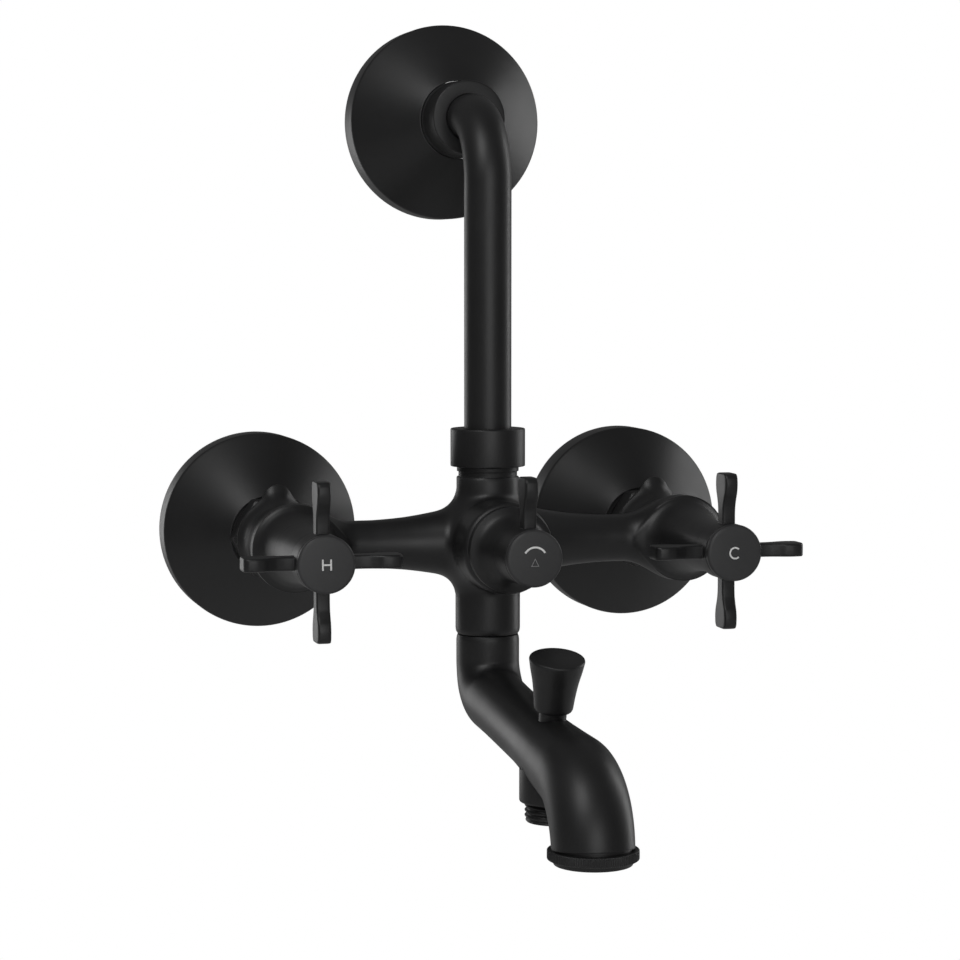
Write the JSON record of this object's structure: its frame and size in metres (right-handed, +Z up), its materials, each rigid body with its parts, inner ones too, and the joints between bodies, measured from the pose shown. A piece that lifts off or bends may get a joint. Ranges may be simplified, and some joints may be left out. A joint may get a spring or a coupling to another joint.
{
  "type": "wall mounted bath faucet",
  "caption": "Exposed wall bath and shower mixer: cross handles, lever diverter, riser to an overhead shower, swivel spout with pull diverter, matte black.",
  "frame": {"origin": "on the finished wall plane, midway between the axes of the hot and cold inlets", "axes": "+X to the cold side (right, seen from the room), +Y into the wall, +Z up"},
  "size_m": [0.226, 0.2414, 0.2917],
  "materials": {
    "matte_black": "matte black powder coat over brass",
    "index_cap_black": "matte black disc with a printed mark",
    "brass": "machined",
    "stainless_steel": "plain",
    "valve_ceramic": "lapped",
    "seal_rubber": "moulded",
    "aerator_plastic": "moulded"
  },
  "bodies": {
    "fixed": {"cold_connecting_leg": "brass", "cold_fixed_ceramic_disc": "valve_ceramic", "cold_union_nut": "matte_black", "cold_valve_cartridge": "brass", "cold_valve_seat_seal": "seal_rubber", "cold_wall_flange": "matte_black", "cover_plate_grip_rings": "seal_rubber", "diverter_bonnet": "matte_black", "diverter_gland": "brass", "diverter_seat_seal": "seal_rubber", "diverter_sleeve": "brass", "hot_connecting_leg": "brass", "hot_fixed_ceramic_disc": "valve_ceramic", "hot_union_nut": "matte_black", "hot_valve_cartridge": "brass", "hot_valve_seat_seal": "seal_rubber", "hot_wall_flange": "matte_black", "mixer_body": "matte_black", "riser_adapter_o_ring": "seal_rubber", "riser_pipe": "matte_black", "riser_union_nut": "matte_black", "riser_wall_adapter": "brass", "riser_washer": "seal_rubber", "spout_o_rings": "seal_rubber", "spout_swivel_nipple": "brass", "union_nut_circlips": "stainless_steel", "union_washers": "seal_rubber", "upper_flange_collar": "matte_black", "upper_wall_flange": "matte_black"},
    "hot_handle": {"hot_cross_handle": "matte_black", "hot_index_cap": "index_cap_black", "hot_handle_screw": "stainless_steel", "hot_spindle": "brass", "hot_spindle_o_ring": "seal_rubber", "hot_turning_ceramic_disc": "valve_ceramic"},
    "cold_handle": {"cold_cross_handle": "matte_black", "cold_index_cap": "index_cap_black", "cold_handle_screw": "stainless_steel", "cold_spindle": "brass", "cold_spindle_o_ring": "seal_rubber", "cold_turning_ceramic_disc": "valve_ceramic"},
    "diverter_handle": {"diverter_lever_handle": "matte_black", "diverter_index_cap": "index_cap_black", "diverter_handle_screw": "stainless_steel", "diverter_spindle": "brass", "diverter_spindle_o_ring": "seal_rubber", "diverter_spool": "brass"},
    "spout": {"bath_spout": "matte_black", "spout_grub_screw": "stainless_steel", "aerator_housing": "matte_black", "aerator_insert": "aerator_plastic", "aerator_mesh": "stainless_steel", "aerator_washer": "seal_rubber", "hand_shower_nipple": "matte_black", "hand_shower_check_valve": "aerator_plastic", "plunger_gland": "matte_black"},
    "plunger": {"pull_knob": "matte_black", "plunger_stem": "brass", "plunger_valve_disc": "seal_rubber"}
  },
  "joints": [
    {"name": "hot_handle_turn", "type": "hinge", "parent": "fixed", "child": "hot_handle", "pos_m": [-0.075, -0.1, 0], "axis": [0, -1, 0], "range_deg": [0, 90]},
    {"name": "cold_handle_turn", "type": "hinge", "parent": "fixed", "child": "cold_handle", "pos_m": [0.075, -0.1, 0], "axis": [0, -1, 0], "range_deg": [-90, 0]},
    {"name": "diverter_turn", "type": "hinge", "parent": "fixed", "child": "diverter_handle", "pos_m": [0, -0.1, 0], "axis": [0, -1, 0], "range_deg": [-180, 0]},
    {"name": "spout_swivel", "type": "hinge", "parent": "fixed", "child": "spout", "pos_m": [0, -0.0762, -0.04], "axis": [0, 0, 1], "range_deg": [-90, 90]},
    {"name": "bath_diverter_pull", "type": "slide", "parent": "spout", "child": "plunger", "axis": [0, -0.2487, 0.9686], "range_m": [0, 0.007]}
  ]
}
